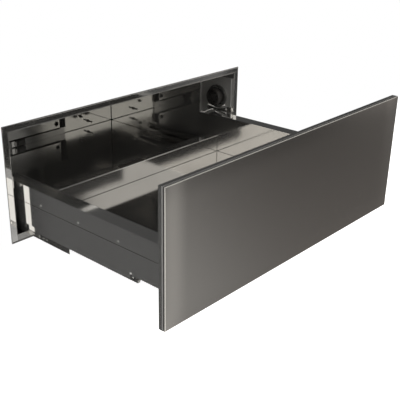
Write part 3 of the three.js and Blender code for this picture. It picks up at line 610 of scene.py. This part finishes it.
FY, FZC = 512.0, 178.5
bm = bmesh.new()
lathe_loop(bm, [(351.0, 20.3), (351.0, 24.0), (342.0, 23.9), (337.5, 23.5), (334.6, 22.6), (333.4, 21.0), (333.6, 19.2), (335.0, 18.6), (335.6, 19.0), (335.8, 20.3)], FY, FZC, 56)
finish_piece("fan_boot", bm, "rubbed_plastic", "housing")
bm = bmesh.new()
for r, x in ((18.4, 333.2), (15.2, 332.2), (12.0, 331.4), (8.8, 330.9), (5.6, 330.6), (2.4, 330.5)):
    w = 0.55
    lathe_loop(bm, [(x + w * math.cos(a), r + w * math.sin(a)) for a in (math.pi * k / 4 for k in range(8))], FY, FZC, 40)
for k in range(4):
    a = math.pi / 4 + math.pi * k / 2
    secs = []
    for r, x in ((19.6, 333.9), (17.0, 333.0), (13.0, 331.9), (9.0, 331.2), (5.0, 330.9), (2.0, 330.8)):
        c = Vector((x + 0.45, FY + r * math.cos(a), FZC + r * math.sin(a)))
        tan = Vector((0.0, -math.sin(a), math.cos(a)))
        secs.append([P(*(c + tan * (0.6 * math.cos(q)) + Vector((0.6 * math.sin(q), 0, 0)))) for q in (math.pi * j / 3 for j in range(6))])
    prism(bm, secs)
finish_piece("fan_guard", bm, "rubbed_plastic", "housing")


def strap(bm, pts, half, x, thick, pitch=4.5, rise=3.2):
    """A ribbed strap on the fan plate along (y, z) points: saw-toothed ribs that slope to the front (mm)."""
    run = [0.0]
    for (y0, z0), (y1, z1) in zip(pts, pts[1:]):
        run.append(run[-1] + math.hypot(y1 - y0, z1 - z0))

    def at(d):
        for k in range(len(pts) - 1):
            if d <= run[k + 1] or k == len(pts) - 2:
                q = (d - run[k]) / (run[k + 1] - run[k])
                return (pts[k][0] + (pts[k + 1][0] - pts[k][0]) * q, pts[k][1] + (pts[k + 1][1] - pts[k][1]) * q)

    secs = []
    count = max(2, round(run[-1] / pitch))
    step = run[-1] / count
    for i in range(count):
        for q, lift in ((0.0, 0.12), (0.16, 0.9), (0.24, 1.0), (0.60, 0.52), (0.94, 0.08)):
            d = (i + q) * step
            y, z = at(d)
            y0, z0 = at(max(0.0, d - 1.0))
            y1, z1 = at(min(run[-1], d + 1.0))
            ln = math.hypot(y1 - y0, z1 - z0)
            ny, nz = -(z1 - z0) / ln, (y1 - y0) / ln
            t_ = thick - rise + rise * lift
            secs.append([P(x - t_ * k, y + ny * half * w, z + nz * half * w)
                         for w, k in ((-1.0, 0.0), (-0.92, 0.7), (-0.7, 1.0), (0.7, 1.0), (0.92, 0.7), (1.0, 0.0))])
    prism(bm, secs)


# air outlet under the fan: a darker sheet between a sagging upper lip and an arched lower lip, painted shade standing
# in for the inside of the slot
PX = 356.35
bm = bmesh.new()
secs = []
for y, z0, z1 in ((548, 133.5, 143.0), (540, 135.5, 143.0), (526, 138.0, 142.5), (512, 137.5, 143.0), (498, 137.5, 146.0), (486, 138.0, 149.0), (479, 138.5, 150.0)):
    secs.append([P(PX, y, z0), P(PX - 0.9, y, z0 + 0.6), P(PX - 0.9, y, z1 - 0.6), P(PX, y, z1)])
prism(bm, secs)
finish_piece("air_slot", bm, "skirt_steel", "housing")
bm = bmesh.new()
strap(bm, [(546, 148.6), (538, 147.6), (530, 146.6), (522, 145.6), (514, 146.0), (506, 148.6), (498, 152.6), (490, 155.8), (484, 157.4)], 2.6, PX, 4.0)
strap(bm, [(573, 121.6), (566, 121.8), (558, 124.0), (550, 129.0), (542, 133.4), (534, 136.4), (527, 137.6)], 2.5, PX, 4.0)
strap(bm, [(518, 127.0), (510, 129.4), (502, 132.8), (495, 135.2), (487, 135.6), (479, 135.4), (470, 135.0), (463, 134.6)], 2.3, PX, 4.0)
finish_piece("air_slot_lips", bm, "strap_bright", "housing")

# black strip along the foot of the rear cover plate, a painted shadow under the plate
bm = bmesh.new()
secs = []
for x, k in ((-165.6, 0.6), (-165.0, 1.0), (143.6, 1.0), (144.2, 0.6)):
    secs.append([P(x, y, 37.3 + (z - 37.3) * k) for y, z in ((951.7, 35.2), (951.1, 35.3), (950.8, 35.7), (950.8, 39.1), (951.1, 39.5), (951.7, 39.6))])
prism(bm, secs)
finish_piece("plate_foot_shadow_strip", bm, "sealant_dark", "housing")

# rounded shoulder on the end block of the rear cover
bm = bmesh.new()
secs = []
for z, k in ((38.0, 0.85), (38.6, 1.0), (97.8, 1.0), (98.4, 0.85)):
    c = 154.4
    secs.append([P(c + (x - c) * k, y, z) for x, y in ((144.4, 951.4), (144.6, 950.6), (145.4, 950.2), (163.4, 950.2), (164.2, 950.6), (164.4, 951.4))])
prism(bm, secs)
finish_piece("end_block_cover", bm, "rubbed_plastic", "housing")

# thin metal end plate on the end block
bm = bmesh.new()
secs = []
for z, k in ((37.7, 0.8), (38.3, 1.0), (98.2, 1.0), (98.8, 0.8)):
    secs.append([P(x, 954.0 + (y - 954.0) * k, z) for x, y in ((164.9, 951.0), (165.25, 951.0), (165.4, 951.3), (165.4, 957.2), (165.25, 957.5), (164.9, 957.5))])
prism(bm, secs)
finish_piece("end_block_end_plate", bm, "plate_steel", "housing")

# ------------------------------------------------------------------ stage
floor_z = P(0, 0, 0).z - 0.0002


def plane(name, x0, x1, y0, y1, z):
    me = bpy.data.meshes.new(name)
    me.from_pydata([(x0, y0, z), (x1, y0, z), (x1, y1, z), (x0, y1, z)], [], [(0, 1, 2, 3)])
    o = bpy.data.objects.new(name, me)
    scene.collection.objects.link(o)
    return o


floor = plane("floor", -9, 9, -9, 9, floor_z)
m, t, b, co = material("floor_pale")
fl = noise(t, co, (1, 1, 1), 1.3, 3.0, 0.5)
t.link(mix(t, fl, (0.90, 0.90, 0.90), (0.94, 0.94, 0.94)), b.inputs["Base Color"])
b.inputs["Roughness"].default_value = 0.9
b.inputs["Specular IOR Level"].default_value = 0.1
b.inputs["Emission Color"].default_value = (1, 1, 1, 1)
b.inputs["Emission Strength"].default_value = 0.85
floor.data.materials.append(m)
floor.visible_glossy = False

# The unit is shown built in: a pale cabinet front stands behind the frame's flange, with a niche for the housing.
# It shows from the front only, so that the housing is seen from the sides and the back.
wall_me = bpy.data.meshes.new("cabinet_front")
hx0, hx1, hz0, hz1 = -363.0, 363.0, 8.3, 261.0
wx0, wx1, wz0, wz1 = -2400.0, 2400.0, 0.0, 1600.0
wy = 460.4
wv = [P(x, wy, z) for x, z in ((wx0, wz0), (wx1, wz0), (wx1, wz1), (wx0, wz1), (hx0, hz0), (hx1, hz0), (hx1, hz1), (hx0, hz1))]
wall_me.from_pydata([tuple(v) for v in wv], [], [(0, 1, 5, 4), (1, 2, 6, 5), (2, 3, 7, 6), (3, 0, 4, 7)])
wall = bpy.data.objects.new("cabinet_front", wall_me)
scene.collection.objects.link(wall)
m = bpy.data.materials.new("wall_pale")
m.use_nodes = True
t = Tree(m.node_tree)
t.n.clear()
out = t.new("ShaderNodeOutputMaterial")
geo = t.new("ShaderNodeNewGeometry")
see = t.new("ShaderNodeBsdfTransparent")
glow = t.new("ShaderNodeEmission", Strength=1.0)
sh = t.new("ShaderNodeMixShader")
t.link(geo.outputs["Backfacing"], sh.inputs[0])
t.link(glow.outputs[0], sh.inputs[1])
t.link(see.outputs[0], sh.inputs[2])
t.link(sh.outputs[0], out.inputs[0])
wall_me.materials.append(m)
wall.visible_glossy = False
wall.visible_diffuse = False
wall.visible_shadow = False
wall.visible_transmission = False

# surroundings: a dim room with large soft panels, laid out by heading and height
world = bpy.data.worlds.new("room")
scene.world = world
world.use_nodes = True
t = Tree(world.node_tree)
t.n.clear()
wout = t.new("ShaderNodeOutputWorld")
bg = t.new("ShaderNodeBackground")
t.link(bg.outputs[0], wout.inputs[0])
wc = t.new("ShaderNodeTexCoord")
wsep = t.new("ShaderNodeSeparateXYZ")
t.link(wc.outputs["Generated"], wsep.inputs[0])
# heading in degrees from -Y towards +X, height in degrees above the horizon
back_to_front = maths(t, "MULTIPLY", wsep.outputs["Y"], -1.0)
heading = maths(t, "MULTIPLY", maths(t, "ARCTAN2", wsep.outputs["X"], back_to_front), 180 / math.pi)
height = maths(t, "MULTIPLY", maths(t, "ARCSINE", wsep.outputs["Z"]), 180 / math.pi)


def panel(col, tint, strength, head, high, soft=(6, 6, 6, 6)):
    """Mix in a soft-edged panel that spans a range of headings and heights."""
    h0, h1 = head
    e0, e1 = high
    f = None
    for source, edge, width, rising in (
        (heading, h0, soft[0], True), (heading, h1, soft[1], False),
        (height, e0, soft[2], True), (height, e1, soft[3], False),
    ):
        if edge is None:
            continue
        lo, hi = edge - width / 2, edge + width / 2
        g = remap(t, source, lo, hi, 0.0 if rising else 1.0, 1.0 if rising else 0.0, True)
        f = g if f is None else maths(t, "MULTIPLY", f, g)
    return mix(t, f, col, tuple(c * strength for c in tint))


CREAM = (1.0, 0.975, 0.925)
NEUTRAL = (1.0, 0.99, 0.97)
WARM = (1.0, 0.93, 0.87)
col = ramp(t, remap(t, height, -90.0, 90.0, 0.0, 1.0), [
    (0.0, (0.20, 0.198, 0.194)),
    (0.32, (0.082, 0.081, 0.079)),
    (0.46, (0.052, 0.052, 0.051)),
    (0.68, (0.052, 0.052, 0.051)),
    (0.80, (0.36, 0.358, 0.35)),
    (1.0, (0.60, 0.60, 0.59)),
])
# straight ahead, behind and to both sides: quiet fill
col = panel(col, NEUTRAL, 0.42, (-17, 17), (-8, 60), (14, 14, 14, 20))
col = panel(col, NEUTRAL, 0.45, (75, 112), (-20, 55), (10, 12, 14, 20))
col = panel(col, NEUTRAL, 0.50, (-112, -76), (-20, 55), (12, 10, 14, 20))
col = panel(col, NEUTRAL, 0.50, (158, None), (-25, 50), (12, 1, 14, 20))
col = panel(col, NEUTRAL, 0.50, (None, -158), (-25, 50), (1, 12, 14, 20))
# darker behind the left side
col = panel(col, NEUTRAL, 0.042, (-153, -144.9), (-36, -6), (4, 1.8, 6, 4))
# a warm low glow on the far right and a faint one near the horizon
col = panel(col, WARM, 0.30, (45, 105), (None, -19.0), (10, 20, 1, 8))
col = panel(col, NEUTRAL, 0.145, (48.6, 50.7), (-17.5, -8), (6, 0.3, 1.5, 5))
col = panel(col, NEUTRAL, 0.025, (50.75, 57), (-17.0, -8), (0.3, 4, 1.5, 5))
col = panel(col, WARM, 0.95, (60, 69), (-13.5, 20), (7, 5, 4, 8))
# pale ground ahead, fading towards the horizon
col = panel(col, NEUTRAL, 0.68, (-85, 54.5), (None, -25.0), (20, 11, 1, 12))
col = panel(col, NEUTRAL, 0.66, (37, 47.0), (None, -21.5), (4, 5, 1, 8))
col = panel(col, CREAM, 1.85, (37.5, 42.3), (None, -15.5), (3, 5, 1, 8))
# bright ground ahead on the left
col = panel(col, CREAM, 1.20, (-72, -16), (-48, -13), (10, 8, 10, 6))
# tall soft panel ahead on the right, with a clean left edge
col = panel(col, NEUTRAL, 0.030, (30, 40), (6, 34), (10, 1.5, 6, 10))
col = panel(col, NEUTRAL, 0.42, (18, 35.1), (9, 24), (12, 1.2, 4, 4))
col = panel(col, CREAM, 0.76, (38.8, 84), (15.3, 50), (1.5, 10, 1.2, 10))
# bright panel ahead on the left
col = panel(col, CREAM, 1.55, (-84, -37), (7, 21.8), (10, 5, 8, 2.5))
col = panel(col, CREAM, 2.2, (-45.5, -35.5), (9, 21.8), (4, 5, 8, 2.5))
# the camera sees a plain pale backdrop
path = t.new("ShaderNodeLightPath")
t.link(mix(t, path.outputs["Is Camera Ray"], col, (1.0, 1.0, 1.0)), bg.inputs["Color"])
bg.inputs["Strength"].default_value = 1.0


def area(name, loc, target, size, power, color=(1, 1, 1), glossy=True):
    d = bpy.data.lights.new(name, "AREA")
    d.shape = "RECTANGLE"
    d.size, d.size_y = size
    d.energy = power
    d.color = color
    o = bpy.data.objects.new(name, d)
    scene.collection.objects.link(o)
    o.location = loc
    o.rotation_euler = (Vector(target) - Vector(loc)).to_track_quat("-Z", "Y").to_euler()
    o.visible_glossy = glossy
    return o


area("softbox_top", (-0.6, -1.2, 2.4), (0, -0.1, 0.1), (2.2, 2.2), 30, (1.0, 0.985, 0.96), glossy=False)
area("softbox_left", (-2.2, -0.4, 1.2), (0, -0.2, 0.1), (1.6, 1.6), 18, (1.0, 0.98, 0.95), glossy=False)
area("softbox_front", (-0.5, -1.9, 0.9), (0.05, 0.0, 0.08), (0.9, 0.7), 14, (1.0, 0.98, 0.95), glossy=False)

scene.cycles.max_bounces = 16
scene.cycles.glossy_bounces = 12
scene.cycles.use_denoising = True
